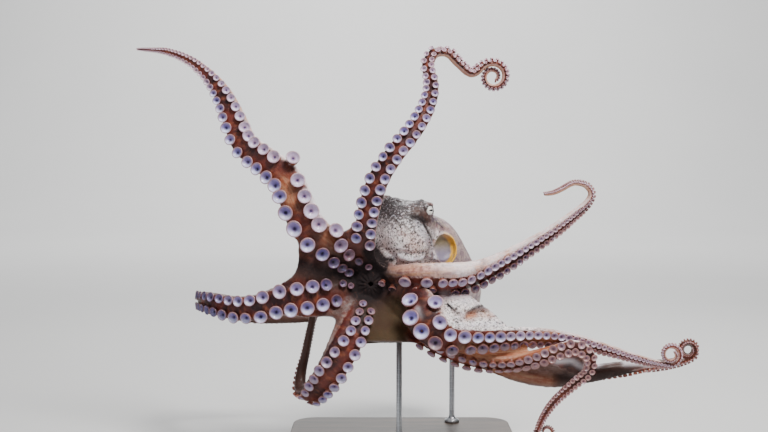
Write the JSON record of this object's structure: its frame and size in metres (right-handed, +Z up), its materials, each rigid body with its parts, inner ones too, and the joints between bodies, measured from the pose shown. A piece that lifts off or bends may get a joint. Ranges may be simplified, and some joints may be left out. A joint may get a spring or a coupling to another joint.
{
  "type": "octopus",
  "caption": "Life-size common octopus swimming with its arms spread and curled, two rows of suckers on each arm, held over a flat base by two short rods.",
  "frame": {"origin": "centre of the underside of the stand's base", "axes": "+Z up, +X to the animal's left and along the longest spread of its arms, -Y where its mouth and suckers look, +Y towards the tip of its mantle"},
  "size_m": [0.7734, 0.2601, 0.558],
  "materials": {
    "skin": "moist skin, mottled pale grey, tan and dark brown",
    "arm_skin": "moist skin, pink and orange-red with pale lilac suckers",
    "web": "moist skin, thin olive-brown web",
    "eye": "wet, pale with a dark slit pupil",
    "base": "dark stained and lacquered",
    "rod": "satin"
  },
  "bodies": {
    "root": {"arm_crown": "web", "arm_left_1_base": "arm_skin", "arm_left_1_middle": "arm_skin", "arm_left_1_outer": "arm_skin", "arm_left_2_base": "arm_skin", "arm_left_2_middle": "arm_skin", "arm_left_2_outer": "arm_skin", "arm_left_2_tip": "arm_skin", "arm_left_3_base": "arm_skin", "arm_left_3_middle": "arm_skin", "arm_left_3_outer": "arm_skin", "arm_left_3_tip": "arm_skin", "arm_left_4_base": "arm_skin", "arm_left_4_middle": "arm_skin", "arm_left_4_outer": "arm_skin", "arm_left_4_tip": "arm_skin", "arm_right_1_base": "arm_skin", "arm_right_1_middle": "arm_skin", "arm_right_1_outer": "arm_skin", "arm_right_1_tip": "arm_skin", "arm_right_2_base": "arm_skin", "arm_right_2_middle": "arm_skin", "arm_right_2_outer": "arm_skin", "arm_right_3_base": "arm_skin", "arm_right_3_middle": "arm_skin", "arm_right_3_outer": "arm_skin", "arm_right_4_base": "arm_skin", "arm_right_4_middle": "arm_skin", "arm_right_4_outer": "arm_skin", "eye_left": "eye", "eye_right": "eye", "funnel": "skin", "head": "skin", "mantle": "skin", "stand_base": "base", "stand_rod_back": "rod", "stand_rod_front": "rod"}
  },
  "joints": []
}
